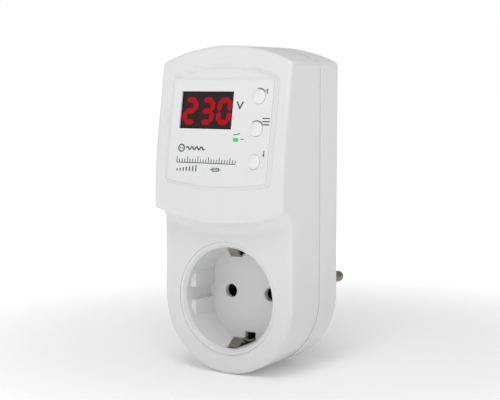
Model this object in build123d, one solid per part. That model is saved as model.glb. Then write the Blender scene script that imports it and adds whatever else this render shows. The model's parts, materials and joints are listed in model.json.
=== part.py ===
from build123d import *
from math import cos, radians, sin, sqrt, tan
import os

# Plug-in mains voltage monitor: an earthed plug on the back, an earthed socket and a
# three-digit display on the front.  Millimetres, +Z up, pins towards +Y, front towards -Y.
# The origin is the centre of the face of the plug boss.  Depths below are measured
# from that face towards the front, so depth d lies at y = -d.

# ---- case ---------------------------------------------------------------------------
case_width = 60.0
crown_z = 99.3            # highest point, above the plug axis
arch_rise = 6.5           # rise of the top arch over its ends
corner_r = 2.4            # where the arch turns into the sides
wall = 2.2
rear_d = 21.0             # rear cover plane
parting_d = 35.5          # line between the two shells
parting_gap = 0.14
front_d = 57.0            # lower front face
hood_rise = 7.2           # hood in front of the lower face
hood_edge_side_z = 35.4   # lower edge of the hood at the sides
hood_edge_drop = 5.4      # its middle hangs this much lower
hood_cove_r = 5.0         # hollow between the hood and the lower face
hood_tilt = 9.5           # degrees, upper part of the hood
hood_bend_top = 34.3      # the hood bends from tilted to upright between these
hood_bend_low = 59.3      # distances below the crown
edge_r = 1.6              # front edges
rear_edge_r = 1.2
parting_bevel_len = 3.0
parting_bevel = 0.3

# ---- face panel ---------------------------------------------------------------------
panel_tilt = 9.3
panel_mid_below = 32.0    # middle button below the crown
panel_set_back = 4.05     # panel behind the hood's foremost plane, at the middle button
panel_wall = 2.0
frame_width = 5.7         # beside the recess floor
recess_side_v = 19.6
recess_crown_v = 24.0
recess_corner_r = 2.0
recess_low_side_v = -21.4
recess_low_mid_v = -24.2
recess_taper = 38.0
label_t = 0.4
label_left_gap = 0.5
label_right_gap = 2.0
label_top_v = 19.1
label_low_side_v = -20.2
label_low_mid_v = -22.6

# ---- display ------------------------------------------------------------------------
window_u = -7.72
window_v = 7.05
window_w = 24.55
window_h = 14.8
display_clear = 0.1
display_face_w = -0.3
display_depth = 7.0
digit_pitch = 8.0
digit_line_w = 4.7        # centre lines of the strokes
digit_line_h = 8.7
digit_drop = 0.3
stroke = 2.1
stroke_gap = 0.06
digit_slant = 3.0
segment_depth = 0.5
pocket_proud = 0.05

# ---- status light -------------------------------------------------------------------
light_u = 7.1
light_v = -4.3
light_w = 2.4
light_h = 1.4
light_clear = 0.05

# ---- buttons ------------------------------------------------------------------------
button_from_edge = 8.2    # button axis to the edge of the recess floor
button_pitch = 12.5
button_r = 2.8
button_clear = 0.1
button_dome = 0.8
button_top_w = 1.5
button_flange = 1.0
button_flange_t = 0.9
button_flange_gap = 0.1
button_travel = 0.3
plunger_r = 1.7
plunger_clear = 0.08
plunger_len = 2.2
switch_size = 6.0
switch_h = 3.5

# ---- boards -------------------------------------------------------------------------
board_t = 1.6
display_board_side_gap = 3.8
display_board_low_v = -18.5
display_board_top_v = 17.0
display_post_r = 2.4
display_post_edge = 2.8
display_post_low = 3.3
display_post_mid_u = 5.5
small_screw_r = 0.95
small_screw_head_r = 1.9
small_screw_head_t = 1.3
small_screw_len = 5.0
power_board_side_gap = 3.3
power_board_above_hood_edge = 1.6
power_board_below_crown = 15.8
power_board_gap = 3.4     # behind the board
power_post_r = 2.6
power_post_edge = 3.5
power_post_top = 2.3
lead_set_back = 1.4       # lead axis behind the power board

# ---- relay --------------------------------------------------------------------------
relay_side_gap = 1.5
relay_below_top = 11.15
relay_len = 29.0
relay_wide = 12.7
relay_high = 15.7
relay_wall = 0.8
pole_c = 11.2
armature_gap = 0.3
armature_t = 1.0

# ---- socket -------------------------------------------------------------------------
pin_spacing = 19.0
insert_rim = 2.8
insert_gap = 0.06
insert_sunk = 0.1        # ring face below the case front
insert_flange = 2.7
insert_flange_t = 2.5
recess_r = 19.7
recess_depth = 17.5
floor_t = 2.5
recess_draft = 0.6       # recess wall opens out by this towards its mouth
lead_in = 1.1            # width of the sloped edge inside the mouth
lead_in_d = 1.5
lead_in_r = 0.4
mouth_outer_r = 0.2
hole_clear = 0.35
hole_chamfer = 0.4
groove_half_z = 2.7      # guide groove between the two pads of a side
pad_height = 7.5
pad_depth = 2.4          # at the recess floor
pad_draft = 0.8
pad_from_face = 3.5
clip_width = 4.4
clip_t = 0.7
clip_leaf_t = 0.6         # each clip folds back at its tip into a leaf along the wall
clip_leaf_out = 0.3       # leaf centre outside the recess wall
clip_leaf_end = 1.2       # the leaf ends this far in front of the floor
strap_set_back = 4.0      # clear space behind the slots in the recess floor
slot_half_x = 2.5

# ---- plug ---------------------------------------------------------------------------
boss_r = 18.5
boss_hollow_r = 15.0
boss_end_t = 5.0
pin_r = 2.4
pin_len = 19.0
pin_tip_r = 1.6
pin_fit = 0.02
pin_neck_step = 0.25
pin_neck = 0.2            # the neck shows this much outside the face
pin_flange = 1.0
pin_flange_t = 1.5
pin_tail_step = 0.4
pin_tail_end_d = 11.6
tail_fit = 0.05
guide_half_z = 2.9
guide_depth = 2.0
earth_strip_below = 0.6   # strip middle below the boss surface
earth_strip_t = 0.8
earth_bar_d = 18.9
sleeve_clear = 0.1
sleeve_wall = 0.9
sleeve_back_d = 22.0
bus_t = 0.8
bus_wide = 5.0
bus_plate_d = 9.8

# ---- case screws --------------------------------------------------------------------
top_post_side = 7.0
top_post_below = 11.3
low_post_side = 6.5
low_post_below_hood = 4.4
case_post_r = 3.0
case_screw_r = 1.4
case_screw_head_r = 2.6
case_screw_head_t = 2.0
case_screw_len = 24.0
screw_sink = 4.0
screw_clear = 0.05

case_half = case_width / 2
hood_d = front_d + hood_rise
hood_edge_mid_z = hood_edge_side_z - hood_edge_drop
hood_bend_top_z = crown_z - hood_bend_top
hood_bend_low_z = crown_z - hood_bend_low
panel_mid_z = crown_z - panel_mid_below
panel_mid_d = hood_d - panel_set_back
recess_half = case_half - frame_width
label_left_u = label_left_gap - recess_half
label_right_u = recess_half - label_right_gap
button_u = recess_half - button_from_edge
button_flange_r = button_r + button_flange
insert_r = recess_r + insert_rim
insert_flange_r = insert_r + insert_flange
hole_r = pin_r + hole_clear
pin_neck_r = pin_r - pin_neck_step
pin_flange_r = pin_r + pin_flange
pin_tail_r = pin_r - pin_tail_step
sleeve_bore_r = pin_r + sleeve_clear
sleeve_r = sleeve_bore_r + sleeve_wall
guide_inner_x = boss_r - guide_depth
earth_strip_z = boss_r - earth_strip_below
inner_d = rear_d + wall
floor_d = front_d - recess_depth
floor_back_d = floor_d - floor_t
board_back_d = inner_d + power_board_gap
board_front_d = board_back_d + board_t
board_w = display_face_w - display_depth
half_pitch = pin_spacing / 2
inner_half = case_half - wall
display_board_half = inner_half - display_board_side_gap
display_posts = (
    (display_post_edge - display_board_half, display_board_low_v + display_post_low),
    (display_post_mid_u, display_board_low_v + display_post_low),
    (display_board_half - display_post_edge, button_pitch / 2),
)
power_board_half = inner_half - power_board_side_gap
power_board_low_z = hood_edge_side_z + power_board_above_hood_edge
power_board_top_z = crown_z - power_board_below_crown
power_posts = (
    (power_post_edge - power_board_half, power_board_top_z - power_post_top),
    (power_board_half - power_post_edge, power_board_top_z - power_post_top),
    (0, power_board_low_z + power_post_edge),
)
relay_x = relay_side_gap + relay_len / 2 - power_board_half
relay_z = power_board_top_z - relay_below_top
top_post = (case_half - top_post_side, crown_z - top_post_below)
low_post = (case_half - low_post_side, hood_edge_side_z - low_post_below_hood)
case_posts = [(side * x, z) for x, z in (top_post, low_post) for side in (-1, 1)]

panel = Plane(
    origin=(0, -panel_mid_d, panel_mid_z),
    x_dir=(1, 0, 0),
    z_dir=(0, -cos(radians(panel_tilt)), sin(radians(panel_tilt))),
)


def slab(sketch, d0, d1):
    """A front-view sketch made solid between two depths."""
    return extrude(Plane.XZ.offset(d0) * sketch, amount=d1 - d0)


def on_panel(sketch, w0, w1):
    """A sketch in panel coordinates made solid between two heights above the panel."""
    return extrude(panel.offset(w0) * sketch, amount=w1 - w0)


def disc(x, z, r, d0, d1):
    return slab(Pos(x, z) * Circle(r), d0, d1)


def block(x0, x1, z0, z1, d0, d1):
    return slab(Pos((x0 + x1) / 2, (z0 + z1) / 2) * Rectangle(x1 - x0, z1 - z0), d0, d1)


def side_strip(points, width, thick):
    """A bent strip: its edge view is a line through (depth, z) points."""
    line = Polyline(*[(-d, z) for d, z in points])
    edge_view = trace(line, line_width=thick)
    return extrude(Plane.YZ * edge_view, amount=width / 2, both=True)


def outline(inset):
    """Front view of the case: round bottom, straight sides, shallow arch on top."""
    r = case_half - inset
    arch_r = (case_half**2 + arch_rise**2) / (2 * arch_rise)
    centre_z = crown_z - arch_r
    shoulder = centre_z + sqrt((arch_r - inset) ** 2 - r**2)
    edges = Curve() + [
        ThreePointArc((-r, 0), (0, -r), (r, 0)),
        Line((r, 0), (r, shoulder)),
        ThreePointArc((r, shoulder), (0, crown_z - inset), (-r, shoulder)),
        Line((-r, shoulder), (-r, 0)),
    ]
    face = make_face(edges)
    corners = face.vertices().group_by(Axis.Y)[-1]
    return fillet(corners, max(corner_r - inset, 0.6))


def below_arc(side_z, mid_z):
    """The region under the curved lower edge of the hood."""
    half = case_half
    edges = Curve() + [
        ThreePointArc((-half, side_z), (0, mid_z), (half, side_z)),
        Line((half, side_z), (half + 10, side_z)),
        Line((half + 10, side_z), (half + 10, -50)),
        Line((half + 10, -50), (-half - 10, -50)),
        Line((-half - 10, -50), (-half - 10, side_z)),
        Line((-half - 10, side_z), (-half, side_z)),
    ]
    return make_face(edges)


def hood_front():
    """Everything in front of the hood surface."""
    t = radians(hood_tilt)
    bend_r = (hood_bend_top_z - hood_bend_low_z) / sin(t)
    bend_y = -hood_d + bend_r * (1 - cos(t))
    half_y = -hood_d + bend_r * (1 - cos(t / 2))
    half_z = hood_bend_low_z + bend_r * sin(t / 2)
    top_y = bend_y + (crown_z + 10 - hood_bend_top_z) * tan(t)
    edges = Curve() + [
        Line((top_y, crown_z + 10), (bend_y, hood_bend_top_z)),
        ThreePointArc((bend_y, hood_bend_top_z), (half_y, half_z), (-hood_d, hood_bend_low_z)),
        Line((-hood_d, hood_bend_low_z), (-hood_d, -60)),
        Line((-hood_d, -60), (-90, -60)),
        Line((-90, -60), (-90, crown_z + 10)),
        Line((-90, crown_z + 10), (top_y, crown_z + 10)),
    ]
    return extrude(Plane.YZ * make_face(edges), amount=case_width, both=True)


def arched(half_w, low_side, low_mid, high_side, high_mid, corner):
    """Panel shape with a rising top edge and a hanging bottom edge."""
    edges = Curve() + [
        ThreePointArc((-half_w, low_side), (0, low_mid), (half_w, low_side)),
        Line((half_w, low_side), (half_w, high_side)),
        ThreePointArc((half_w, high_side), (0, high_mid), (-half_w, high_side)),
        Line((-half_w, high_side), (-half_w, low_side)),
    ]
    face = make_face(edges)
    return fillet(face.vertices(), corner)


def sharp_edges(solid, back_d):
    """Edges between two faces that meet at an angle, in front of a depth."""
    found = []
    for edge in solid.edges():
        if edge.center().Y > -back_d:
            continue
        sides = [f for f in solid.faces() if any(edge.is_same(other) for other in f.edges())]
        at = edge @ 0.5
        if len(sides) == 2 and sides[0].normal_at(at).dot(sides[1].normal_at(at)) < 0.95:
            found.append(edge)
    return found


button_vs = (button_pitch, 0.0, -button_pitch)
button_names = ("up", "menu", "down")
button_spots = [(button_u, v) for v in button_vs]
window = Pos(window_u, window_v) * Rectangle(window_w, window_h)
light_hole = Pos(light_u, light_v) * Rectangle(light_w + 2 * light_clear, light_h + 2 * light_clear)

# ---- front shell --------------------------------------------------------------------
front = slab(outline(0), parting_d + parting_gap / 2, hood_d + 1) - hood_front()
front -= slab(below_arc(hood_edge_side_z, hood_edge_mid_z), front_d, hood_d + 5)
cove = [e for e in front.edges() if abs(e.center().Y + front_d) < 0.01 and e.center().Z > 20]
cove = [e for e in cove if e.center().Z < crown_z / 2]
front = fillet(cove, hood_cove_r)
front = fillet(sharp_edges(front, parting_d + 1), edge_r)
back_face = front.faces().sort_by(Axis.Y)[-1]
front = chamfer(back_face.edges(), parting_bevel, parting_bevel_len, reference=back_face)

cavity = slab(outline(wall), parting_d - 1, front_d - wall)
hood_cavity = outline(wall) - below_arc(hood_edge_side_z + 3, hood_edge_mid_z + 3)
cavity += slab(hood_cavity, parting_d, hood_d)
cavity -= on_panel(Rectangle(300, 300), -panel_wall, 80)
front -= cavity

recess = arched(
    recess_half,
    recess_low_side_v,
    recess_low_mid_v,
    recess_side_v,
    recess_crown_v,
    recess_corner_r,
)
front -= extrude(panel * recess, amount=4.0, taper=-recess_taper)

for x, z in case_posts:
    post = disc(x, z, case_post_r, parting_d + parting_gap / 2, front_d - wall + 0.5)
    post -= disc(x, z, case_screw_r + screw_clear, parting_d, front_d - 8)
    front += post
for u, v in display_posts:
    front += on_panel(Pos(u, v) * Circle(display_post_r), board_w, -panel_wall)
    front -= on_panel(Pos(u, v) * Circle(small_screw_r + screw_clear), board_w, -panel_wall - 1.5)

front -= on_panel(window, -10, 5)
front -= on_panel(light_hole, -10, 5)
for u, v in button_spots:
    front -= on_panel(Pos(u, v) * Circle(button_r + button_clear), -10, 5)
front -= disc(0, 0, insert_r + insert_gap, parting_d, front_d + 5)

# ---- rear shell with the plug boss --------------------------------------------------
rear = slab(outline(0), rear_d, parting_d - parting_gap / 2)
rear = fillet(rear.faces().sort_by(Axis.Y)[-1].edges(), rear_edge_r)
rear -= slab(outline(wall), rear_d + wall, parting_d)
boss = disc(0, 0, boss_r, 0, rear_d + 0.5)
boss = fillet(boss.faces().sort_by(Axis.Y)[-1].edges(), 0.8)
rear += boss
rear -= disc(0, 0, boss_hollow_r, boss_end_t, parting_d)
for side in (-1, 1):
    guide_x = sorted((side * guide_inner_x, side * (boss_r + 2)))
    rear -= block(*guide_x, -guide_half_z, guide_half_z, -1, rear_d - 2)
    groove_z = sorted((side * (earth_strip_z - earth_strip_t / 2 - 0.05), side * (boss_r + 2)))
    rear -= block(-slot_half_x, slot_half_x, *groove_z, 1.5, rear_d - 1)
    slot_z = sorted((side * (boss_hollow_r - 1), side * (boss_r - 0.5)))
    rear -= block(-slot_half_x, slot_half_x, *slot_z, earth_bar_d - 0.6, earth_bar_d + 0.6)
    rear -= disc(side * half_pitch, 0, pin_r + pin_fit, -1, boss_end_t + 1)
for x, z in case_posts:
    rear += disc(x, z, case_post_r, rear_d + 1, parting_d - parting_gap / 2)
    rear -= disc(x, z, case_screw_r + 0.3, rear_d - 1, parting_d)
    rear -= disc(x, z, case_screw_head_r + 0.3, rear_d - 1, rear_d + screw_sink)
for x, z in power_posts:
    rear += disc(x, z, power_post_r, rear_d + 1, board_back_d)
    rear -= disc(x, z, small_screw_r + screw_clear, rear_d + 0.8, board_back_d)
rear -= disc(0, 0, case_screw_r + screw_clear, 1.8, boss_end_t + 1)

# ---- printed label ------------------------------------------------------------------
label = arched(recess_half, label_low_side_v, label_low_mid_v, recess_side_v, recess_crown_v, 0.6)
label_box = Pos((label_left_u + label_right_u) / 2, (label_top_v - 30) / 2)
label &= label_box * Rectangle(label_right_u - label_left_u, label_top_v + 30)
label -= window
label -= light_hole
for u, v in button_spots:
    label -= Pos(u, v) * Circle(button_r + button_clear)
face_label = on_panel(label, 0, label_t)

# ---- display ------------------------------------------------------------------------
display_w = window_w - 2 * display_clear
display_h = window_h - 2 * display_clear
display_body = on_panel(Pos(window_u, window_v) * Rectangle(display_w, display_h), board_w, display_face_w)


def slanted(points, shift):
    lean = tan(radians(digit_slant))
    middle_v = window_v - digit_drop
    corners = [(window_u + shift + x + y * lean, middle_v + y) for x, y in points]
    return Polygon(*corners, align=None)


def level_stroke(y, shift):
    a = digit_line_w / 2 - stroke_gap
    s = stroke / 2
    return slanted([(-a, y), (s - a, y - s), (a - s, y - s), (a, y), (a - s, y + s), (s - a, y + s)], shift)


def upright_stroke(x, low, high, shift):
    a = low + stroke_gap
    b = high - stroke_gap
    s = stroke / 2
    return slanted([(x, a), (x + s, a + s), (x + s, b - s), (x, b), (x - s, b - s), (x - s, a + s)], shift)


def digit_strokes(shift):
    w = digit_line_w / 2
    h = digit_line_h / 2
    return {
        "a": level_stroke(h, shift),
        "b": upright_stroke(w, 0, h, shift),
        "c": upright_stroke(w, -h, 0, shift),
        "d": level_stroke(-h, shift),
        "e": upright_stroke(-w, -h, 0, shift),
        "f": upright_stroke(-w, 0, h, shift),
        "g": level_stroke(0, shift),
    }


lit_strokes = ("abged", "abgcd", "abcdef")
lit = []
unlit = []
for place, shown in enumerate(lit_strokes):
    for name, shape in digit_strokes((place - 1) * digit_pitch).items():
        bar = on_panel(shape, display_face_w - segment_depth, display_face_w + pocket_proud)
        display_body -= bar
        if name in shown:
            lit.append(bar)
        else:
            unlit.append(bar)

# ---- status light -------------------------------------------------------------------
light_at = Pos(light_u, light_v)
light_pipe = on_panel(light_at * Rectangle(light_w, light_h), -3.0, label_t - 0.1)
light_pipe += on_panel(light_at * Rectangle(light_w + 1.4, light_h + 1.4), -5.4, -panel_wall - 0.1)
status_led = on_panel(light_at * Rectangle(3.2, 1.6), board_w, board_w + 1.3)

# ---- buttons and their switches -----------------------------------------------------
flange_low = -panel_wall - button_flange_gap - button_flange_t
dome_r = (button_r**2 + button_dome**2) / (2 * button_dome)
half_r = button_r / 2
half_w = button_top_w - dome_r + sqrt(dome_r**2 - half_r**2)
cap_line = Curve() + [
    Line((0, flange_low), (button_flange_r, flange_low)),
    Line((button_flange_r, flange_low), (button_flange_r, flange_low + button_flange_t)),
    Line((button_flange_r, flange_low + button_flange_t), (button_r, flange_low + button_flange_t)),
    Line((button_r, flange_low + button_flange_t), (button_r, button_top_w - button_dome)),
    ThreePointArc((button_r, button_top_w - button_dome), (half_r, half_w), (0, button_top_w)),
    Line((0, button_top_w), (0, flange_low)),
]
cap = revolve(Plane.XZ * make_face(cap_line), Axis.Z)
plunger_low = flange_low - plunger_len
switch_top = board_w + switch_h
switch_plan = Rectangle(switch_size, switch_size)

# ---- boards -------------------------------------------------------------------------
board_v = (display_board_low_v + display_board_top_v) / 2
board_h = display_board_top_v - display_board_low_v
display_plan = Pos(0, board_v) * RectangleRounded(2 * display_board_half, board_h, 1.0)
for u, v in display_posts:
    display_plan -= Pos(u, v) * Circle(small_screw_r + 0.15)
display_board = on_panel(display_plan, board_w - board_t, board_w)
controller_at = Pos(window_u - 1, window_v - 1)
controller = on_panel(controller_at * Rectangle(12.8, 7.5), board_w - board_t - 2.4, board_w - board_t)
behind_board = on_panel(Rectangle(300, 300), board_w - board_t, 80)

power_mid_z = (power_board_low_z + power_board_top_z) / 2
power_plan = Pos(0, power_mid_z) * RectangleRounded(
    2 * power_board_half, power_board_top_z - power_board_low_z, 1.5
)
for x, z in power_posts:
    power_plan -= Pos(x, z) * Circle(small_screw_r + 0.15)
power_board = slab(power_plan, board_back_d, board_front_d)

header_z = panel_mid_z - 15.4
link_header = block(-12, 2, header_z - 1.3, header_z + 1.3, board_front_d, board_front_d + 2.5)
header_pins = []
for n in range(5):
    pin_x = -10.08 + 2.54 * n
    low_z = header_z - 0.32
    pin_shape = block(pin_x - 0.32, pin_x + 0.32, low_z, low_z + 0.64, board_front_d + 2.5, hood_d + 5)
    header_pins.append(pin_shape)
link_header_pins = Compound(children=[pin - behind_board for pin in header_pins])

# ---- relay: a along x, b along z, c forward from the board --------------------------


def relay_block(a0, a1, b_half, c0, c1):
    return block(
        relay_x + a0,
        relay_x + a1,
        relay_z - b_half,
        relay_z + b_half,
        board_front_d + c0,
        board_front_d + c1,
    )


def relay_disc(a, r, c0, c1):
    return disc(relay_x + a, relay_z, r, board_front_d + c0, board_front_d + c1)


coil_a = -7.0
relay_case = relay_block(-relay_len / 2, relay_len / 2, relay_wide / 2, 0, relay_high)
relay_case -= relay_block(
    -relay_len / 2 + relay_wall,
    relay_len / 2 - relay_wall,
    relay_wide / 2 - relay_wall,
    -1,
    relay_high - relay_wall,
)
relay_base = relay_block(-13.6, 13.6, 5.45, 0, 2.2)
relay_yoke = relay_block(-13.4, -12.4, 4.5, 2.2, pole_c) + relay_block(-13.4, -3.5, 4.5, 2.2, 3.2)
relay_core = relay_disc(coil_a, 1.8, 3.2, pole_c) + relay_disc(coil_a, 3.0, pole_c - 0.6, pole_c)
bobbin = relay_disc(coil_a, 5.0, 3.2, 3.9) + relay_disc(coil_a, 5.0, 9.8, 10.5)
bobbin += relay_disc(coil_a, 2.4, 3.9, 9.8)
relay_bobbin = bobbin - relay_core
relay_winding = relay_disc(coil_a, 4.7, 3.9, 9.8) - relay_disc(coil_a, 2.4, 3.9, 9.8)
armature_c = pole_c + armature_gap
relay_armature = relay_block(-13.3, -3.0, 4.3, armature_c, armature_c + armature_t)
spring_c = armature_c + armature_t
relay_spring = relay_block(-11.0, 10.4, 2.4, spring_c, spring_c + 0.3)
relay_contact = relay_disc(8.6, 1.3, spring_c - 1.1, spring_c)
relay_fixed = relay_disc(8.6, 1.5, spring_c - 2.6, spring_c - 1.4)
relay_fixed += relay_block(6.6, 12.6, 2.2, spring_c - 3.4, spring_c - 2.6)
relay_fixed += relay_block(11.8, 12.6, 2.2, 2.2, spring_c - 2.6)

# ---- other parts of the power board -------------------------------------------------
film_left = relay_x - relay_len / 2 + 1.0
film_top = relay_z - relay_wide / 2 - 2.5
film_capacitor = block(film_left, film_left + 26, film_top - 9, film_top, board_front_d, board_front_d + 15)
film_capacitor = fillet(film_capacitor.edges().filter_by(Axis.Y), 0.8)
free_x = relay_x + relay_len / 2 + 9.0
smoothing_capacitor = disc(free_x, relay_z + 3.65, 5.0, board_front_d + 0.4, board_front_d + 14.5)
varistor_z = relay_z - 11.35
varistor_at = Plane.XY.offset(varistor_z) * Pos(free_x + 0.5, -(board_front_d + 9.5))
varistor = extrude(varistor_at * Circle(7.0), amount=4.5)
varistor_legs = []
for leg_x in (free_x - 1.9, free_x + 2.9):
    leg_z = varistor_z + 1.8
    leg = block(leg_x - 0.4, leg_x + 0.4, leg_z, leg_z + 0.8, board_front_d, board_front_d + 3.5)
    varistor_legs.append(leg - varistor)
fuse_z = varistor_z - 11.0
board_fuse = block(free_x - 2.5, free_x + 6.0, fuse_z - 2, fuse_z + 2, board_front_d, board_front_d + 8.0)
low_z = power_board_low_z + 5.5
rectifier = block(film_left + 2.5, film_left + 9.0, low_z, low_z + 4.7, board_front_d, board_front_d + 2.6)
regulator = block(9.0, 13.6, low_z - 1.5, low_z + 2.0, board_front_d, board_front_d + 1.6)
regulator += block(9.6, 13.0, low_z + 2.0, low_z + 3.7, board_front_d, board_front_d + 0.3)

# ---- socket -------------------------------------------------------------------------
face_d = front_d - insert_sunk
recess_line = [
    (0, floor_d),
    (recess_r, floor_d),
    (recess_r + recess_draft, face_d - lead_in_d),
    (recess_r + recess_draft + lead_in, face_d),
    (recess_r + recess_draft + lead_in, face_d + 5),
    (0, face_d + 5),
]
insert = disc(0, 0, insert_r, floor_back_d, face_d)
insert -= revolve(Polygon(*[(r, -d) for r, d in recess_line], align=None), axis=Axis.Y)
mouth = insert.faces().sort_by(Axis.Y)[0]
inner_mouth, outer_mouth = mouth.edges().sort_by(lambda e: e.length)
insert = fillet(inner_mouth, lead_in_r)
mouth_edge = insert.faces().sort_by(Axis.Y)[0].edges().sort_by(lambda e: e.length)[-1]
insert = fillet(mouth_edge, mouth_outer_r)
insert += disc(0, 0, insert_flange_r, front_d - wall - insert_flange_t, front_d - wall) - disc(
    0, 0, insert_r - 0.5, 0, 80
)
pad_inner_x = recess_r - pad_depth
pad_front_d = face_d - pad_from_face
for side in (-1, 1):
    pad_line = [
        (side * pad_inner_x, -floor_d),
        (side * (pad_inner_x + pad_draft), -pad_front_d),
        (side * (recess_r + 1), -pad_front_d),
        (side * (recess_r + 1), -floor_d),
    ]
    for end in (-1, 1):
        pad_mid_z = end * (groove_half_z + pad_height / 2)
        pad_face = Plane.XY.offset(pad_mid_z) * Polygon(*pad_line, align=None)
        pad = extrude(pad_face, amount=pad_height / 2, both=True)
        insert += chamfer(pad.faces().sort_by(Axis.Y)[0].edges().filter_by(Axis.Z), 1.2)
    insert -= disc(side * half_pitch, 0, hole_r, floor_back_d - 1, floor_d + 1)
    cone = Plane.XZ.offset(floor_d - hole_chamfer) * Pos(side * half_pitch, 0)
    insert -= extrude(cone * Circle(hole_r), amount=hole_chamfer + 0.1, taper=-45)
    slot_z = sorted((side * (recess_r - 3.5), side * (recess_r - 0.3)))
    insert -= block(-slot_half_x, slot_half_x, *slot_z, floor_back_d - 1, floor_d + 1)
    wall_z = sorted((side * (recess_r - 4), side * (recess_r + 1.5)))
    insert -= block(-slot_half_x, slot_half_x, *wall_z, floor_d, face_d - 2.6)

strap_back_d = floor_back_d - strap_set_back
top_clip = [
    (strap_back_d, recess_r - 1.0),
    (floor_d + 1.0, recess_r - 0.9),
    (floor_d + 4.5, recess_r - 1.2),
    (floor_d + 9.8, recess_r - 3.4),
    (floor_d + 10.8, recess_r - 3.3),
    (floor_d + 13.4, recess_r + 0.3),
]
low_clip = [
    (strap_back_d, recess_r - 1.0),
    (floor_d + 1.0, recess_r - 0.9),
    (floor_d + 4.5, recess_r - 0.9),
    (floor_d + 8.4, recess_r - 2.5),
    (floor_d + 9.2, recess_r - 2.4),
    (floor_d + 12.8, recess_r + 0.5),
]
strap_path = [(d, z) for d, z in reversed(top_clip)] + [(d, -z) for d, z in low_clip]
socket_earth_strap = side_strip(strap_path, clip_width, clip_t)
for (tip_d, tip_z), side in ((top_clip[-1], 1), (low_clip[-1], -1)):
    leaf_z = side * (recess_r + clip_leaf_out)
    leaf_path = [(tip_d, side * tip_z), (tip_d - 0.9, leaf_z), (floor_d + clip_leaf_end, leaf_z)]
    socket_earth_strap += side_strip(leaf_path, clip_width, clip_leaf_t)

sleeve = disc(half_pitch, 0, sleeve_r, sleeve_back_d, floor_back_d - 0.1)
sleeve -= disc(half_pitch, 0, sleeve_bore_r, sleeve_back_d - 1, floor_back_d + 1)
sleeve -= block(half_pitch - 0.5, half_pitch + 0.5, -5, 5, sleeve_back_d + 3, floor_back_d + 1)

# ---- plug ---------------------------------------------------------------------------
pin = disc(half_pitch, 0, pin_r, -pin_len, -pin_neck)
pin = fillet(pin.faces().sort_by(Axis.Y)[-1].edges(), pin_tip_r)
pin += disc(half_pitch, 0, pin_neck_r, -pin_neck - 0.5, boss_end_t)
pin += disc(half_pitch, 0, pin_flange_r, boss_end_t, boss_end_t + pin_flange_t)
pin += disc(half_pitch, 0, pin_tail_r, boss_end_t + pin_flange_t - 0.5, pin_tail_end_d)
carrier_d = boss_end_t + pin_flange_t + 0.05
pin_carrier = disc(0, 0, boss_hollow_r - 0.3, carrier_d, bus_plate_d - 0.05)
for side in (-1, 1):
    pin_carrier -= disc(side * half_pitch, 0, pin_tail_r + tail_fit, 0, 20)
pin_carrier -= disc(0, 0, case_screw_r + 0.15, 0, 20)
carrier_screw = disc(0, 0, case_screw_r, 2.6, bus_plate_d)
carrier_screw += disc(0, 0, case_screw_head_r, bus_plate_d - 0.05, bus_plate_d + 1.8)

earth_ends_d = 2.2
plug_path = [
    (earth_ends_d, earth_strip_z),
    (earth_bar_d, earth_strip_z),
    (earth_bar_d, -earth_strip_z),
    (earth_ends_d, -earth_strip_z),
]
plug_earth_strap = side_strip(plug_path, clip_width, earth_strip_t)
earth_link = disc(0, 0, 1.8, earth_bar_d + earth_strip_t / 2, strap_back_d - clip_t / 2)

bus_outer_x = half_pitch + sleeve_r
bus_inner_x = half_pitch - pin_tail_r - 0.6
bus_half_z = bus_wide / 2
bus = block(bus_inner_x, bus_outer_x + bus_t, -bus_half_z, bus_half_z, bus_plate_d, bus_plate_d + bus_t)
bus -= disc(half_pitch, 0, pin_tail_r + tail_fit, 0, 20)
neutral_busbar = bus + block(
    bus_outer_x + 0.02, bus_outer_x + bus_t, -bus_wide / 2, bus_wide / 2, bus_plate_d, sleeve_back_d + 6
)
neutral_busbar = mirror(neutral_busbar, about=Plane.YZ)
live_tab = bus


def lead(points, r):
    """An insulated wire through (x, depth, z) points."""
    path = Spline(*[(x, -d, z) for x, d, z in points])
    return sweep(Plane(origin=path @ 0, z_dir=path % 0) * Circle(r), path=path)


solder_d = board_back_d - lead_set_back
solder_z = power_board_low_z + 3.0
live_in_lead = lead(
    [
        (half_pitch, bus_plate_d + bus_t + 0.95, 3.0),
        (8.5, 14.0, 7.0),
        (8.0, 19.0, 8.8),
        (8.0, inner_d - 0.2, 10.5),
        (8.4, solder_d, 14.5),
        (9.4, solder_d, 18.0),
        (11.8, solder_d, solder_z - 11.0),
        (14.0, solder_d, solder_z),
    ],
    0.9,
)
live_out_lead = lead(
    [
        (19.5, solder_d, solder_z + 1.0),
        (19.0, solder_d + 0.3, solder_z - 7.0),
        (15.0, 28.0, 17.0),
        (half_pitch + 1.1, 30.0, sleeve_r + 3.4),
        (half_pitch, 30.2, sleeve_r + 0.9),
    ],
    0.9,
)
bus_mid_x = bus_outer_x + bus_t / 2
neutral_lead = lead(
    [
        (-bus_mid_x, inner_d + 3.8, bus_wide / 2 + 0.7),
        (-bus_mid_x - 0.5, inner_d + 3.0, 8.0),
        (-15.5, solder_d, 20.0),
        (-16.0, solder_d, solder_z),
    ],
    0.6,
)

# ---- screws -------------------------------------------------------------------------
case_screw = disc(0, 0, case_screw_r, rear_d + screw_sink - 0.5, rear_d + screw_sink + case_screw_len)
head = disc(0, 0, case_screw_head_r, rear_d + screw_sink - case_screw_head_t, rear_d + screw_sink)
case_screw += head
case_screw -= block(-1.7, 1.7, -0.3, 0.3, 0, rear_d + screw_sink - case_screw_head_t + 0.9)
case_screw -= block(-0.3, 0.3, -1.7, 1.7, 0, rear_d + screw_sink - case_screw_head_t + 0.9)


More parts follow.
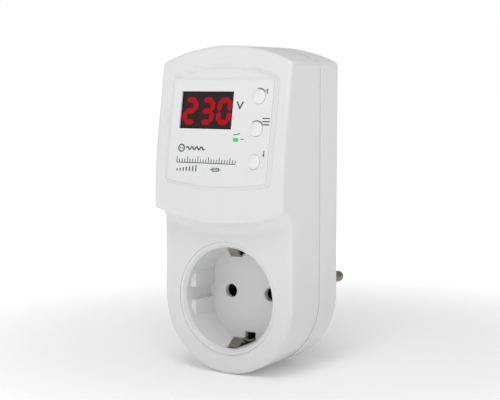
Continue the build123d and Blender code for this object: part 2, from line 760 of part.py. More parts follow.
board_screw = extrude(Circle(small_screw_r), amount=-small_screw_len)
board_screw += extrude(Circle(small_screw_head_r), amount=small_screw_head_t)
display_screws = []
for u, v in display_posts:
    seat = panel * Pos(u, v, board_w - board_t) * Rot(180, 0, 0)
    display_screws.append(seat * board_screw)
power_screws = []
for x, z in power_posts:
    seat = Plane.XZ.offset(board_front_d) * Pos(x, z, 0)
    power_screws.append(seat * board_screw)

nodes = {
    "front_housing": front,
    "rear_housing": rear,
    "face_label": face_label,
    "display_body": display_body,
    "display_segments_lit": Compound(children=lit),
    "display_segments_dark": Compound(children=unlit),
    "light_pipe": light_pipe,
    "status_led": status_led,
    "display_board": display_board,
    "microcontroller": controller,
    "link_header": link_header,
    "link_header_pins": link_header_pins,
    "power_board": power_board,
    "relay_case": relay_case,
    "relay_base": relay_base,
    "relay_yoke": relay_yoke,
    "relay_core": relay_core,
    "relay_bobbin": relay_bobbin,
    "relay_winding": relay_winding,
    "relay_armature": relay_armature,
    "relay_contact_spring": relay_spring,
    "relay_moving_contact": relay_contact,
    "relay_fixed_contact": relay_fixed,
    "film_capacitor": film_capacitor,
    "smoothing_capacitor": smoothing_capacitor,
    "varistor": Compound(children=[varistor] + varistor_legs),
    "board_fuse": board_fuse,
    "rectifier": rectifier,
    "regulator": regulator,
    "socket_insert": insert,
    "socket_earth_strap": socket_earth_strap,
    "socket_contact_left": mirror(sleeve, about=Plane.YZ),
    "socket_contact_right": sleeve,
    "plug_pin_left": mirror(pin, about=Plane.YZ),
    "plug_pin_right": pin,
    "pin_carrier": pin_carrier,
    "carrier_screw": carrier_screw,
    "plug_earth_strap": plug_earth_strap,
    "earth_link": earth_link,
    "neutral_busbar": neutral_busbar,
    "live_tab": live_tab,
    "live_in_lead": live_in_lead,
    "live_out_lead": live_out_lead,
    "neutral_lead": neutral_lead,
    "case_screws": Compound(children=[Pos(x, 0, z) * case_screw for x, z in case_posts]),
    "display_board_screws": Compound(children=display_screws),
    "power_board_screws": Compound(children=power_screws),
}
for name, (u, v) in zip(button_names, button_spots):
    seat = panel * Pos(u, v)
    stem = extrude(panel.offset(plunger_low) * Pos(u, v) * Circle(plunger_r), amount=plunger_len)
    switch = on_panel(Pos(u, v) * switch_plan, board_w, switch_top)
    well_low = plunger_low - button_travel - 0.3
    switch -= on_panel(Pos(u, v) * Circle(plunger_r + plunger_clear), well_low, 0)
    nodes[name + "_button"] = seat * cap
    nodes[name + "_plunger"] = stem
    nodes[name + "_switch"] = switch

os.makedirs("parts", exist_ok=True)
for name, shape in nodes.items():
    export_step(shape, "parts/" + name + ".step")
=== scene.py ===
import json
import math

import bmesh
import bpy
from bpy.props import FloatProperty, FloatVectorProperty, PointerProperty, StringProperty
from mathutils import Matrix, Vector


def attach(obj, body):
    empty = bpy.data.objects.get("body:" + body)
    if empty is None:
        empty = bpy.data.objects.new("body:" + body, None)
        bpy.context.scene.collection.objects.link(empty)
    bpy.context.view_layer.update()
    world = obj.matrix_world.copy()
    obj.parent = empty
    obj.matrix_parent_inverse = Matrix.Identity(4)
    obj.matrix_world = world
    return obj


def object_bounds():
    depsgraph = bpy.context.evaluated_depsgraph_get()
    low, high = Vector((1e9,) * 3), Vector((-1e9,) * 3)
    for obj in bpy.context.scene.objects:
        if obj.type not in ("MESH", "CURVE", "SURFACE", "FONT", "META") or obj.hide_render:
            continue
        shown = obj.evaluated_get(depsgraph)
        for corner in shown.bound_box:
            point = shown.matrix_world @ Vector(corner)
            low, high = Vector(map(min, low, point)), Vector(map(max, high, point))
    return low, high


bl_info = {
    "name": "Plug-in voltage monitor finishes",
    "version": (1, 0, 0),
    "blender": (4, 5, 0),
    "location": "View3D > Sidebar > Voltage monitor",
    "description": "Finishes, printed marks and studio for a plug-in mains voltage monitor",
    "category": "Object",
}

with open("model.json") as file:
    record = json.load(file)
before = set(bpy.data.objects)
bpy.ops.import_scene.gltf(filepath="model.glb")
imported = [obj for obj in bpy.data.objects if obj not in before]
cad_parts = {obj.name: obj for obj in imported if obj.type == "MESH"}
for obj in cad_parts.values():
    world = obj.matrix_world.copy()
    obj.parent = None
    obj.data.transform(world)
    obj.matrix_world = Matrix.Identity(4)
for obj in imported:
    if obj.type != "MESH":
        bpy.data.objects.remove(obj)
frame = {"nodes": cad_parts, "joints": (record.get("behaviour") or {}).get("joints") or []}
cad_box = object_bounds()
MM = 0.001
MM_PER_METRE = 1000.0

BUTTON_U = 16.1  # button axes, mm right of the case's middle
BUTTON_PITCH = 12.5
SHADOW_RIM_THICK = 0.03  # painted shadow rim round the display, mm
ROUND_STEPS = 6  # facets of a stroke's rounded end, and the fewest of an arc
ARC_STEP_DEG = 6
WAVE_STEPS = 48

PLASTIC_IOR = 1.53
EPOXY_IOR = 1.55
GLOW_SHARE = 0.18  # share by which a glow is uneven
STAIN_PER_MM = 0.5
FLOW_PER_MM = 0.06  # flow shading drifts over about 17 mm
GRAIN_SPREAD = 0.12  # share by which grain changes the gloss
LINE_SPREAD = 0.3  # share by which drawing lines change the gloss
LINE_STRETCH = 0.05  # lines run on for about 20 mm

TABLE_REACH = 12.0
FLOOR_GAP = 0.0002
PAINTED_GLOW_START_MM = 70.0  # the table's painted glow rises between these distances from the object
PAINTED_GLOW_END_MM = 320.0
SENSOR_MM = 36.0
CLIP_START = 0.01
# Softboxes: name, place from the camera's target, width, and the setting with its power.
SOFTBOXES = (
    ("key_softbox", (0.12, -0.30, 0.46), 0.32, "key"),
    ("fill_softbox", (0.30, -0.75, 0.25), 0.6, "fill"),
    ("top_softbox", (0.1, 0.1, 1.2), 1.2, "top"),
)


# ---- measures taken from the loaded parts ---------------------------------------------
def panel_axes():
    """The tilted face panel: a point on the middle button's axis, and right, up and outward."""
    press = next(j for j in frame["joints"] if j["name"] == "menu_press")
    out = -Vector(press["axis"]).normalized()
    right = Vector((1, 0, 0))
    up = out.cross(right)
    points = [v.co for v in frame["nodes"]["menu_button"].data.vertices]
    middle = sum(points, Vector()) / len(points)
    face = max(v.co.dot(out) for v in frame["nodes"]["face_label"].data.vertices)
    origin = middle + out * (face - middle.dot(out))
    origin.x = 0
    return origin, right, up, out


PANEL_ORIGIN, PANEL_RIGHT, PANEL_UP, PANEL_OUT = panel_axes()


def on_label(u, v, lift=0.0):
    """A point on the label, mm right of the case's middle, above the menu button and outward."""
    return PANEL_ORIGIN + (PANEL_RIGHT * u + PANEL_UP * v + PANEL_OUT * lift) * MM


# ---- small helpers --------------------------------------------------------------------
def linear(hex_colour):
    """An sRGB hex colour as linear RGBA."""
    values = [int(hex_colour[i : i + 2], 16) / 255 for i in (1, 3, 5)]
    return [c / 12.92 if c <= 0.04045 else ((c + 0.055) / 1.055) ** 2.4 for c in values] + [1.0]


def add_node(tree, kind, settings=None, inputs=None, links=()):
    """A node with its settings, its own socket values and its incoming links."""
    node = tree.nodes.new(kind)
    for key, value in (settings or {}).items():
        setattr(node, key, value)
    for key, value in (inputs or {}).items():
        node.inputs[key].default_value = value
    for socket, source in links:
        tree.links.new(source, node.inputs[socket])
    return node


def new_surface(name):
    """An empty material with its shader, and object coordinates in millimetres."""
    surface = bpy.data.materials.new(name)
    surface.use_nodes = True
    tree = surface.node_tree
    tree.nodes.clear()
    shader = add_node(tree, "ShaderNodeBsdfPrincipled")
    output = add_node(tree, "ShaderNodeOutputMaterial")
    tree.links.new(shader.outputs["BSDF"], output.inputs["Surface"])
    place = add_node(tree, "ShaderNodeTexCoord")
    millimetres = add_node(
        tree,
        "ShaderNodeVectorMath",
        {"operation": "SCALE"},
        {"Scale": MM_PER_METRE},
        [(0, place.outputs["Object"])],
    )
    return surface, tree, shader, millimetres.outputs[0]


def clouded_colour(tree, socket, colour, share, place, scale, detail):
    """A colour on a shader's socket, darkened in uneven clouds by up to a share."""
    look = {"Scale": scale, "Detail": detail}
    clouds = add_node(tree, "ShaderNodeTexNoise", None, look, [("Vector", place)])
    full = linear(colour)
    ends = {6: [c * (1 - share) for c in full[:3]] + [1.0], 7: full}
    links = [(0, clouds.outputs["Fac"])]
    tint = add_node(tree, "ShaderNodeMix", {"data_type": "RGBA"}, ends, links)
    tree.links.new(tint.outputs[2], socket)


def textured_skin(tree, shader, place, look, roughness, spread, depth_mm):
    """A pattern that shows in the gloss, by a share of the roughness each way, and in relief."""
    pattern = add_node(tree, "ShaderNodeTexNoise", None, look, [("Vector", place)]).outputs["Fac"]
    limits = {
        "From Min": 0.3,
        "From Max": 0.7,
        "To Min": roughness * (1 - spread),
        "To Max": roughness * (1 + spread),
    }
    sheen = add_node(tree, "ShaderNodeMapRange", None, limits, [("Value", pattern)])
    tree.links.new(sheen.outputs[0], shader.inputs["Roughness"])
    height = {"Strength": 1.0, "Distance": depth_mm * MM}
    relief = add_node(tree, "ShaderNodeBump", None, height, [("Height", pattern)])
    tree.links.new(relief.outputs[0], shader.inputs["Normal"])


def moulded(name, colour, roughness, grain_mm, depth_mm, shade=0.03, ior=PLASTIC_IOR, specular=0.5):
    """A moulded plastic: tool grain in the relief and gloss, faint flow shading in the colour."""
    surface, tree, shader, mm = new_surface(name)
    shader.inputs["IOR"].default_value = ior
    shader.inputs["Specular IOR Level"].default_value = specular
    clouded_colour(tree, shader.inputs["Base Color"], colour, shade, mm, FLOW_PER_MM, 2.0)
    grain = {"Scale": 1.0 / grain_mm, "Detail": 3.0, "Roughness": 0.6}
    textured_skin(tree, shader, mm, grain, roughness, GRAIN_SPREAD, depth_mm)
    return surface


def drawn_metal(name, colour, roughness, line_mm, along, depth_mm=0.002, stain=0.12):
    """A metal with fine lines along one axis, as drawing or stamping leaves, and a faint stain."""
    surface, tree, shader, mm = new_surface(name)
    shader.inputs["Metallic"].default_value = 1.0
    clouded_colour(tree, shader.inputs["Base Color"], colour, stain, mm, STAIN_PER_MM, 3.0)
    stretch = [1.0 / line_mm] * 3
    stretch["XYZ".index(along)] = LINE_STRETCH
    multiply = {"operation": "MULTIPLY"}
    lines = add_node(tree, "ShaderNodeVectorMath", multiply, {1: stretch}, [(0, mm)])
    streaks = {"Scale": 1.0, "Detail": 2.0}
    textured_skin(tree, shader, lines.outputs[0], streaks, roughness, LINE_SPREAD, depth_mm)
    return surface


def glowing(name, colour, glow, strength, roughness, specular=0.5):
    """A lit light guide: its glow is a little uneven, as the moulding is."""
    surface, tree, shader, mm = new_surface(name)
    shader.inputs["Base Color"].default_value = linear(colour)
    shader.inputs["Roughness"].default_value = roughness
    shader.inputs["IOR"].default_value = EPOXY_IOR
    shader.inputs["Specular IOR Level"].default_value = specular
    shader.inputs["Emission Strength"].default_value = strength
    clouded_colour(tree, shader.inputs["Emission Color"], glow, GLOW_SHARE, mm, 0.9, 2.0)
    return surface


def coat_nodes(surface, *names):
    """Give loaded parts a finish."""
    for name in names:
        part = frame["nodes"][name]
        part.data.materials.clear()
        part.data.materials.append(surface)


def piece(name, mesh_data, surface, body):
    """A new piece that rides on a body and takes its finish from a material slot."""
    made = bpy.data.objects.new(name, mesh_data)
    bpy.context.scene.collection.objects.link(made)
    made.data.materials.append(surface)
    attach(made, body)


def face_extent(name):
    """A part's extent on the panel, mm: least and most u, least and most v, outermost level."""
    spots = [v.co - PANEL_ORIGIN for v in frame["nodes"][name].data.vertices]
    across = [p.dot(PANEL_RIGHT) / MM for p in spots]
    upward = [p.dot(PANEL_UP) / MM for p in spots]
    level = max(p.dot(PANEL_OUT) / MM for p in spots)
    return min(across), max(across), min(upward), max(upward), level


def ink_and_painted_shadow_mesh(name, outlines, thick_mm, level_mm=0.0):
    """Flat shapes on the panel, printed marks and painted shadow alike: each outline is a list of
    (u, v) points.
    """
    work = bmesh.new()
    for outline in outlines:
        low = [work.verts.new(on_label(u, v, level_mm)) for u, v in outline]
        top = [work.verts.new(on_label(u, v, level_mm + thick_mm)) for u, v in outline]
        work.faces.new(top)
        work.faces.new(list(reversed(low)))
        for i in range(len(outline)):
            k = (i + 1) % len(outline)
            work.faces.new((low[i], low[k], top[k], top[i]))
    bmesh.ops.recalc_face_normals(work, faces=work.faces)
    data = bpy.data.meshes.new(name)
    work.to_mesh(data)
    work.free()
    return data


def rectangle(u0, u1, v0, v1):
    """The outline of an upright patch."""
    return [(u0, v0), (u1, v0), (u1, v1), (u0, v1)]


def bar(u0, v0, u1, v1, width):
    """A stroke with rounded ends between two points."""
    angle = math.atan2(v1 - v0, u1 - u0)
    points = []
    for (cu, cv), start in (((u1, v1), angle - math.pi / 2), ((u0, v0), angle + math.pi / 2)):
        for step in range(ROUND_STEPS + 1):
            a = start + math.pi * step / ROUND_STEPS
            points.append((cu + math.cos(a) * width / 2, cv + math.sin(a) * width / 2))
    return points


def arc_band(cu, cv, radius, width, start_deg, end_deg):
    """A band round a centre, between two angles: printed in the badge, and painted shadow beside the
    buttons.
    """
    sweep = end_deg - start_deg
    steps = max(ROUND_STEPS, int(abs(sweep) / ARC_STEP_DEG))
    angles = [math.radians(start_deg + sweep * i / steps) for i in range(steps + 1)]
    sides = []
    for r in (radius + width / 2, radius - width / 2):
        sides.append([(cu + math.cos(a) * r, cv + math.sin(a) * r) for a in angles])
    return sides[0] + sides[1][::-1]


def wave(u0, u1, v, height, period, width):
    """A printed sine wave from u0 to u1 about the level v."""
    upper, lower = [], []
    for i in range(WAVE_STEPS + 1):
        u = u0 + (u1 - u0) * i / WAVE_STEPS
        phase = 2 * math.pi * (u - u0) / period
        y = v + math.sin(phase) * height / 2
        slope = math.cos(phase) * math.pi * height / period
        side = Vector((-slope, 1)).normalized() * width / 2
        upper.append((u + side.x, y + side.y))
        lower.append((u - side.x, y - side.y))
    return upper + lower[::-1]


def unit_letter():
    """The letter V, for volts."""
    return [bar(6.5, 10.3, 7.8, 7.8, 0.62), bar(7.8, 7.8, 9.05, 10.3, 0.62)]


def up_arrow():
    """An arrow beside the upper button."""
    return [bar(19.65, 13.7, 19.65, 15.35, 0.42), bar(19.25, 14.95, 19.65, 15.35, 0.36)]


def down_arrow():
    """An arrow beside the lower button."""
    return [bar(20.4, -10.3, 20.4, -8.35, 0.42), bar(20.0, -9.75, 20.4, -10.35, 0.36)]


def menu_bars():
    """Three bars beside the middle button."""
    return [bar(18.7, v, 21.6, v, 0.42) for v in (4.15, 2.95, 1.75)]


def switch_sign():
    """An open contact, as circuit diagrams draw it."""
    return [bar(6.1, -2.35, 7.5, -2.25, 0.32), bar(7.5, -2.25, 8.85, -1.8, 0.32)]


def badge():
    """A plug seen from its end, and a sine wave."""
    level = -8.05
    ring = arc_band(-17.9, level, 1.35, 0.5, -180, 180)
    holes = [bar(u, level, u, level + 0.1, 0.5) for u in (-18.4, -17.4)]
    return [ring, *holes, wave(-15.6, -6.9, level, 1.15, 2.2, 0.55)]


def meter_scale():
    """Ticks on a base line: every fourth tick is tall."""
    left, foot, spacing, count = -19.6, -13.6, 1.25, 23
    outlines = []
    for i in range(count):
        u = left + spacing * i
        outlines.append(bar(u, foot, u, foot + (2.1 if i % 4 == 0 else 1.2), 0.34))
    return outlines + [bar(left, -13.75, 7.9, -13.75, 0.3)]


def level_bars():
    """Seven bars that rise to the right."""
    places = [-19.2 + 1.5 * i for i in range(7)]
    return [bar(u, -16.9, u, -16.4 + 0.24 * i, 0.55) for i, u in enumerate(places)]


def fuse_sign():
    """A fuse, as circuit diagrams draw it: a box on a line."""
    left, right, low, high = -2.5, 0.5, -16.75, -15.55
    line = bar(-3.5, -16.15, 1.5, -16.15, 0.3)
    long_sides = [bar(left, v, right, v, 0.3) for v in (high, low)]
    ends = [bar(u, low, u, high, 0.3) for u in (left, right)]
    return [line, *long_sides, *ends]


# ---- settings a user would change -----------------------------------------------------
class ShellSettings(bpy.types.PropertyGroup):
    colour: StringProperty(
        name="Shell colour", description="sRGB hex of the white shells", default="#e4e4e5"
    )
    roughness: FloatProperty(
        name="Shell roughness",
        description="Roughness of the moulded skin",
        default=0.36,
        min=0,
        max=1,
        subtype="FACTOR",
    )
    grain: FloatProperty(
        name="Grain width", description="Width of one tool grain, mm", default=0.35, min=0.05
    )


class PrintSettings(bpy.types.PropertyGroup):
    # Colour of the printed marks, and of the painted shadow arcs beside the buttons.
    ink_and_painted_shadow: StringProperty(
        name="Ink colour", description="sRGB hex of the printed marks", default="#4c4d50"
    )
    thickness: FloatProperty(
        name="Ink thickness", description="Height of the ink above the film, mm", default=0.03
    )


class DisplaySettings(bpy.types.PropertyGroup):
    face: StringProperty(
        name="Face colour", description="sRGB hex of the display's face", default="#241416"
    )
    red: StringProperty(
        name="Lit colour", description="sRGB hex of a lit stroke", default="#c80c16"
    )
    green: StringProperty(
        name="Light colour", description="sRGB hex of the status light", default="#3db653"
    )
    # Width of the painted shadow rim round the display face.
    rim: FloatProperty(
        name="Rim width",
        description="Width of the black rim round the display, mm",
        default=0.5,
        min=0,
    )
    glow: FloatProperty(
        name="Glow", description="Emission strength of a lit stroke", default=0.72, min=0
    )


class StudioSettings(bpy.types.PropertyGroup):
    camera: FloatVectorProperty(
        name="Camera",
        description="Camera position",
        default=(0.2636, -0.45176, 0.08486),
        subtype="TRANSLATION",
    )
    target: FloatVectorProperty(
        name="Target",
        description="Point the camera looks at",
        default=(0.011008, -0.057, 0.039818),
        subtype="TRANSLATION",
    )
    lens: FloatProperty(name="Lens", description="Focal length, mm", default=87.72)
    key: FloatProperty(
        name="Key light",
        description="Power of the softbox above the camera",
        default=0.92,
        subtype="POWER",
    )
    fill: FloatProperty(
        name="Fill light",
        description="Power of the low front softbox",
        default=0.40,
        subtype="POWER",
    )
    top: FloatProperty(
        name="Top light",
        description="Power of the overhead softbox",
        default=2.4,
        subtype="POWER",
    )
    sky: FloatProperty(
        name="Surround", description="Light of the white surround on the object", default=0.44
    )
    # Painted glow of the table: low near the object as a painted shade, high far off.
    painted_near_glow: FloatProperty(
        name="Near glow",
        description="Light through the table where the object stands",
        default=0.09,
    )
    painted_far_glow: FloatProperty(
        name="Far glow", description="Light through the table far from the object", default=0.61
    )


SETTINGS = {
    "monitor_shell": ShellSettings,
    "monitor_print": PrintSettings,
    "monitor_display": DisplaySettings,
    "monitor_studio": StudioSettings,
}


# ---- operators ------------------------------------------------------------------------
class MONITOR_OT_shells(bpy.types.Operator):
    """Front and rear shells, buttons and socket insert in moulded white"""

    bl_idname = "monitor.shells"
    bl_label = "Shells, buttons and insert"

    def execute(self, context):
        s = context.scene.monitor_shell
        # Polycarbonate-ABS from a spark-eroded tool: a satin skin whose grain breaks highlights up.
        # Real grain is about 0.05 mm wide; this one is coarser, so that it shows.
        shell = moulded("satin_polycarbonate_abs", s.colour, s.roughness, s.grain, 0.006)
        coat_nodes(shell, "front_housing", "rear_housing")
        # The same resin from a polished tool: the caps catch a tighter highlight.
        cap = moulded("polished_abs_caps", "#e9e9ea", s.roughness * 0.75, s.grain, 0.003)
        coat_nodes(cap, "up_button", "menu_button", "down_button")
        # Flame-retardant polycarbonate: slightly glossier than the shell, with a shallower grain.
        insert = moulded("socket_polycarbonate", "#e4e4e5", s.roughness * 0.8, s.grain, 0.004)
        coat_nodes(insert, "socket_insert")
        return {"FINISHED"}


class MONITOR_OT_label(bpy.types.Operator):
    """Printed film of the face panel, with its printed marks and painted shadow arcs"""

    bl_idname = "monitor.label"
    bl_label = "Label and printed marks"

    def execute(self, context):
        s = context.scene.monitor_print
        # Velvet polycarbonate film: matt, with a fine emboss and no flow shading.
        # The emboss is really about 0.03 mm wide, and is drawn at 0.25 mm so that it shows.
        film = moulded("velvet_polycarbonate_film", "#e5e5e6", 0.5, 0.25, 0.003, shade=0.01)
        coat_nodes(film, "face_label")
        # Screen ink: thin, matt and slightly uneven in density, as its 0.3 mm mesh leaves it. The
        # same grey paints shadow arcs beside the upper and middle buttons.
        ink_and_painted_shadow = moulded("screen_ink_grey", s.ink_and_painted_shadow, 0.6, 0.3, 0.002, shade=0.15, ior=1.45)
        marks = {
            "unit_mark": unit_letter(),
            "up_mark": up_arrow(),
            "menu_mark": menu_bars(),
            "down_mark": down_arrow(),
            "switch_mark": switch_sign(),
            "light_dash": [bar(9.6, -4.0, 10.75, -4.0, 0.32)],
            # Painted shadow: dark arcs where the gap round the upper and middle caps lies in shade.
            "up_arc": [arc_band(BUTTON_U, BUTTON_PITCH, 3.22, 0.34, 105, 35)],
            "menu_arc": [arc_band(BUTTON_U, 0.0, 3.22, 0.34, 125, 40)],
            "badge_mark": badge(),
            "scale_mark": meter_scale(),
            "load_mark": level_bars(),
            "fuse_mark": fuse_sign(),
        }
        for name, outlines in marks.items():
            piece(name, ink_and_painted_shadow_mesh(name, outlines, s.thickness), ink_and_painted_shadow, "case")
        return {"FINISHED"}


class MONITOR_OT_display(bpy.types.Operator):
    """Display module with its lit and unlit strokes, the status light and a painted shadow rim"""

    bl_idname = "monitor.display"
    bl_label = "Display and light"

    def execute(self, context):
        s = context.scene.monitor_display
        # Filled polyphenylene oxide with a black-inked face: dark, even and nearly matt.
        face = moulded("inked_display_face", s.face, 0.5, 0.2, 0.004, shade=0.12, specular=0.3)
        coat_nodes(face, "display_body")
        # Diffusing red epoxy with a lit chip behind it: an even saturated glow.
        lit = glowing("lit_red_epoxy", "#40060a", s.red, s.glow, 0.45, 0.12)
        coat_nodes(lit, "display_segments_lit")
        # The same epoxy unlit: it nearly vanishes into the face.
        dark = moulded("unlit_red_epoxy", "#2b1719", 0.45, 0.2, 0.003, shade=0.1, specular=0.3)
        coat_nodes(dark, "display_segments_dark")
        # Clear acrylic guide carrying green light to the face: brighter than a stroke.
        guide = glowing("lit_green_acrylic", "#2c8f42", s.green, s.glow * 1.2, 0.25)
        coat_nodes(guide, "light_pipe")
        # Cast silicone lens over the chip: smooth, with a faint green cast from the chip.
        led = moulded("clear_silicone_lens", "#d8e8d0", 0.3, 0.3, 0.002)
        coat_nodes(led, "status_led")
        # A black rim round the face, as painted shadow of the gap that the face is set in: darker
        # than the face.
        rim = moulded("black_lacquered_rim", "#0e0c0d", 0.45, 0.3, 0.003, shade=0.1, specular=0.3)
        low_u, high_u, low_v, high_v, level = face_extent("display_body")
        in_low_u, in_high_u = low_u + s.rim, high_u - s.rim
        in_low_v, in_high_v = low_v + s.rim, high_v - s.rim
        strips = [
            rectangle(low_u, high_u, low_v, in_low_v),
            rectangle(low_u, high_u, in_high_v, high_v),
            rectangle(low_u, in_low_u, in_low_v, in_high_v),
            rectangle(in_high_u, high_u, in_low_v, in_high_v),
        ]
        strip_mesh = ink_and_painted_shadow_mesh("display_rim", strips, SHADOW_RIM_THICK, level)
        piece("display_rim", strip_mesh, rim, "case")
        return {"FINISHED"}


class MONITOR_OT_contacts(bpy.types.Operator):
    """Plug pins, earth strips, sleeves and busbars"""

    bl_idname = "monitor.contacts"
    bl_label = "Pins and contacts"

    def execute(self, context):
        # Nickel over turned brass: a warm grey with fine lines along the pin.
        # Polishing lines are finer than 0.05 mm, and are drawn 0.15 mm apart so that they show.
        pins = drawn_metal("nickelled_brass_pins", "#867f75", 0.26, 0.15, "Y")
        coat_nodes(pins, "plug_pin_left", "plug_pin_right")
        # Nickel over stamped strip: bright and dark by turns, from the waves that rolling leaves.
        # The waves are drawn 0.9 mm apart, coarser than real, so that they show.
        strip = drawn_metal("nickelled_brass_strip", "#a39f95", 0.15, 0.9, "X", 0.03, 0.4)
        coat_nodes(strip, "socket_earth_strap", "plug_earth_strap")
        # Bare brass strip, rolled and slightly tarnished: warm, with fine lines.
        brass = drawn_metal("bare_brass_strip", "#b8925a", 0.36, 0.2, "Y", 0.003, 0.3)
        coat_nodes(brass, "neutral_busbar", "live_tab", "earth_link", "link_header_pins")
        coat_nodes(brass, "relay_contact_spring", "relay_moving_contact", "relay_fixed_contact")
        # Formed brass sleeves, coloured dark green-brown as painted shade: nearly black inside the
        # pin holes.
        sleeve = drawn_metal("oxidised_brass_sleeves", "#20302a", 0.6, 0.2, "Y", 0.003, 0.3)
        coat_nodes(sleeve, "socket_contact_left", "socket_contact_right")
        return {"FINISHED"}


class MONITOR_OT_boards(bpy.types.Operator):
    """Circuit boards and the parts on them"""

    bl_idname = "monitor.boards"
    bl_label = "Boards and their parts"

    def execute(self, context):
        # Glass-epoxy board under green lacquer: glossy, with the relief of a 0.6 mm weave.
        board = moulded("lacquered_glass_epoxy", "#1d5a34", 0.28, 0.6, 0.01, shade=0.2)
        coat_nodes(board, "display_board", "power_board")
        # Mineral-filled moulding compound: black and matt.
        chip = moulded("filled_epoxy_black", "#1b1b1d", 0.55, 0.15, 0.004, shade=0.15)
        coat_nodes(chip, "microcontroller", "rectifier", "regulator", "link_header", "board_fuse")
        coat_nodes(chip, "up_switch", "menu_switch", "down_switch")
        coat_nodes(chip, "up_plunger", "menu_plunger", "down_plunger")
        # Moulded polyester box: glossy yellow.
        box = moulded("yellow_polyester_box", "#d6b32c", 0.3, 0.4, 0.006)
        coat_nodes(box, "film_capacitor")
        # Shrunk vinyl sleeve: glossy black, softly wavy every 1.5 mm.
        sleeve = moulded("shrunk_vinyl_sleeve", "#16161c", 0.25, 1.5, 0.02)
        coat_nodes(sleeve, "smoothing_capacitor")
        # Dipped epoxy: glossy blue with runs about 1.2 mm wide.
        coating = moulded("dipped_blue_epoxy", "#23559b", 0.25, 1.2, 0.03, shade=0.12)
        coat_nodes(coating, "varistor")
        return {"FINISHED"}


class MONITOR_OT_relay(bpy.types.Operator):
    """Relay cover, coil and iron parts"""

    bl_idname = "monitor.relay"
    bl_label = "Relay"

    def execute(self, context):
        # Moulded polyester cover: blue and glossy.
        cover = moulded("blue_polyester_cover", "#1f4b96", 0.3, 0.4, 0.004)
        coat_nodes(cover, "relay_case")
        # Moulded polyester base: black and half matt.
        coat_nodes(moulded("black_polyester_base", "#202022", 0.5, 0.3, 0.004), "relay_base")
        # Zinc-plated soft iron: grey with stamping lines.
        iron = drawn_metal("zinc_plated_iron", "#a9abac", 0.34, 0.25, "X")
        coat_nodes(iron, "relay_yoke", "relay_core", "relay_armature")
        # Moulded natural nylon: cream and soft in its gloss.
        bobbin = moulded("natural_nylon_bobbin", "#d8d3c2", 0.45, 0.3, 0.003)
        coat_nodes(bobbin, "relay_bobbin")
        # Enamelled copper wire, wound in turns 0.12 mm apart; drawn 0.3 mm apart so they show.
        turns = drawn_metal("enamelled_copper_turns", "#a4582c", 0.3, 0.3, "X", 0.02)
        coat_nodes(turns, "relay_winding")
        return {"FINISHED"}


class MONITOR_OT_wiring(bpy.types.Operator):
    """Insulated wires, pin carrier and screws"""

    bl_idname = "monitor.wiring"
    bl_label = "Wires, carrier and screws"

    def execute(self, context):
        # Extruded vinyl insulation: soft gloss with faint ripples 0.8 mm apart.
        for name, colour, lead in (
            ("brown_vinyl_insulation", "#5b3a22", "live_in_lead"),
            ("black_vinyl_insulation", "#1c1c1d", "live_out_lead"),
            ("blue_vinyl_insulation", "#2857a8", "neutral_lead"),
        ):
            coat_nodes(moulded(name, colour, 0.34, 0.8, 0.01), lead)
        # Moulded glass-filled polyamide: grey and dry, with fibres in its skin.
        carrier = moulded("glass_filled_polyamide", "#b9b9b4", 0.55, 0.3, 0.008, shade=0.1)
        coat_nodes(carrier, "pin_carrier")
        # Bright zinc on cold-headed steel: a cool grey that catches the light.
        zinc = drawn_metal("bright_zinc_screws", "#b4b6b6", 0.28, 0.15, "Y")
        coat_nodes(zinc, "carrier_screw", "case_screws")
        coat_nodes(zinc, "display_board_screws", "power_board_screws")
        return {"FINISHED"}


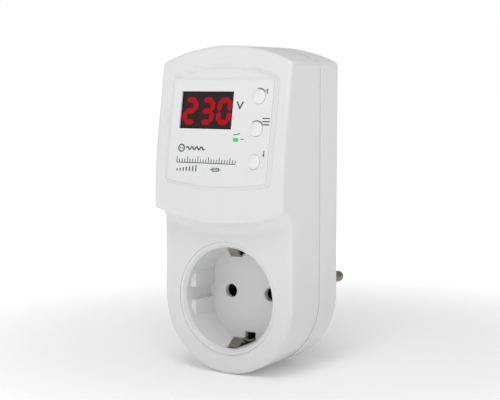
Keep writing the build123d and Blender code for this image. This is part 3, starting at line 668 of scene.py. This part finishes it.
class MONITOR_OT_studio(bpy.types.Operator):
    """Pale floor with a painted glow, soft lights and camera"""

    bl_idname = "monitor.studio"
    bl_label = "Studio"

    def execute(self, context):
        s = context.scene.monitor_studio
        scene = context.scene
        scene.view_settings.view_transform = "Standard"
        floor_z = cad_box[0][2] - FLOOR_GAP
        work = bmesh.new()
        corners = rectangle(-TABLE_REACH, TABLE_REACH, -TABLE_REACH, TABLE_REACH)
        work.faces.new([work.verts.new((x, y, floor_z)) for x, y in corners])
        data = bpy.data.meshes.new("table")
        work.to_mesh(data)
        work.free()
        table = bpy.data.objects.new("table", data)
        scene.collection.objects.link(table)
        # Matt white table with a painted glow: dim near the object as a painted shade round it,
        # bright far off.
        surface, tree, shader, mm = new_surface("opal_acrylic_table")
        shader.inputs["Base Color"].default_value = linear("#ffffff")
        shader.inputs["Roughness"].default_value = 0.9
        shader.inputs["Specular IOR Level"].default_value = 0.1
        shader.inputs["Emission Color"].default_value = (1, 1, 1, 1)
        # Painted shade round the object: the glow grows with distance from it.
        away = add_node(tree, "ShaderNodeVectorMath", {"operation": "LENGTH"}, None, [(0, mm)])
        rise = {
            "From Min": PAINTED_GLOW_START_MM,
            "From Max": PAINTED_GLOW_END_MM,
            "To Min": s.painted_near_glow,
            "To Max": s.painted_far_glow,
        }
        smooth = {"interpolation_type": "SMOOTHSTEP"}
        glow = add_node(tree, "ShaderNodeMapRange", smooth, rise, [("Value", away.outputs["Value"])])
        tree.links.new(glow.outputs[0], shader.inputs["Emission Strength"])
        data.materials.append(surface)

        world = bpy.data.worlds.new("white_surround")
        world.use_nodes = True
        tree = world.node_tree
        # The surround is seen as pure white, and lights the object with less than half of that.
        path = add_node(tree, "ShaderNodeLightPath")
        levels = {"To Min": s.sky, "To Max": 1.0}
        ray = path.outputs["Is Camera Ray"]
        seen = add_node(tree, "ShaderNodeMapRange", None, levels, [("Value", ray)])
        background = tree.nodes["Background"]
        background.inputs["Color"].default_value = (1.0, 1.0, 1.0, 1.0)
        tree.links.new(seen.outputs[0], background.inputs["Strength"])
        scene.world = world

        middle = Vector(s.target)
        for name, offset, size, power in SOFTBOXES:
            lamp = bpy.data.lights.new(name, "AREA")
            lamp.shape = "DISK"
            lamp.size = size
            lamp.energy = getattr(s, power)
            holder = bpy.data.objects.new(name, lamp)
            holder.location = middle + Vector(offset)
            holder.rotation_euler = (-Vector(offset)).to_track_quat("-Z", "Y").to_euler()
            scene.collection.objects.link(holder)

        lens = bpy.data.cameras.new("studio_camera")
        lens.lens = s.lens
        lens.sensor_width = SENSOR_MM
        lens.clip_start = CLIP_START
        holder = bpy.data.objects.new("studio_camera", lens)
        holder.location = s.camera
        view = middle - Vector(s.camera)
        holder.rotation_euler = view.to_track_quat("-Z", "Y").to_euler()
        scene.collection.objects.link(holder)
        scene.camera = holder
        return {"FINISHED"}


OPERATORS = (
    MONITOR_OT_shells,
    MONITOR_OT_label,
    MONITOR_OT_display,
    MONITOR_OT_contacts,
    MONITOR_OT_boards,
    MONITOR_OT_relay,
    MONITOR_OT_wiring,
    MONITOR_OT_studio,
)


class MONITOR_PT_panel(bpy.types.Panel):
    """Lists the finishes and the studio"""

    bl_label = "Voltage monitor"
    bl_idname = "MONITOR_PT_panel"
    bl_space_type = "VIEW_3D"
    bl_region_type = "UI"
    bl_category = "Voltage monitor"

    def draw(self, context):
        for operator in OPERATORS:
            self.layout.operator(operator.bl_idname)
        for name in SETTINGS:
            settings = getattr(context.scene, name)
            box = self.layout.box()
            for key in settings.bl_rna.properties.keys():
                if key not in ("rna_type", "name"):
                    box.prop(settings, key)


def register():
    for item in (*SETTINGS.values(), *OPERATORS, MONITOR_PT_panel):
        bpy.utils.register_class(item)
    for name, group in SETTINGS.items():
        setattr(bpy.types.Scene, name, PointerProperty(type=group))


def unregister():
    for name in SETTINGS:
        delattr(bpy.types.Scene, name)
    for item in (MONITOR_PT_panel, *reversed(OPERATORS), *reversed(SETTINGS.values())):
        bpy.utils.unregister_class(item)


def main():
    register()
    for operator in OPERATORS:
        group, name = operator.bl_idname.split(".")
        getattr(getattr(bpy.ops, group), name)()


if __name__ == "__main__":
    main()
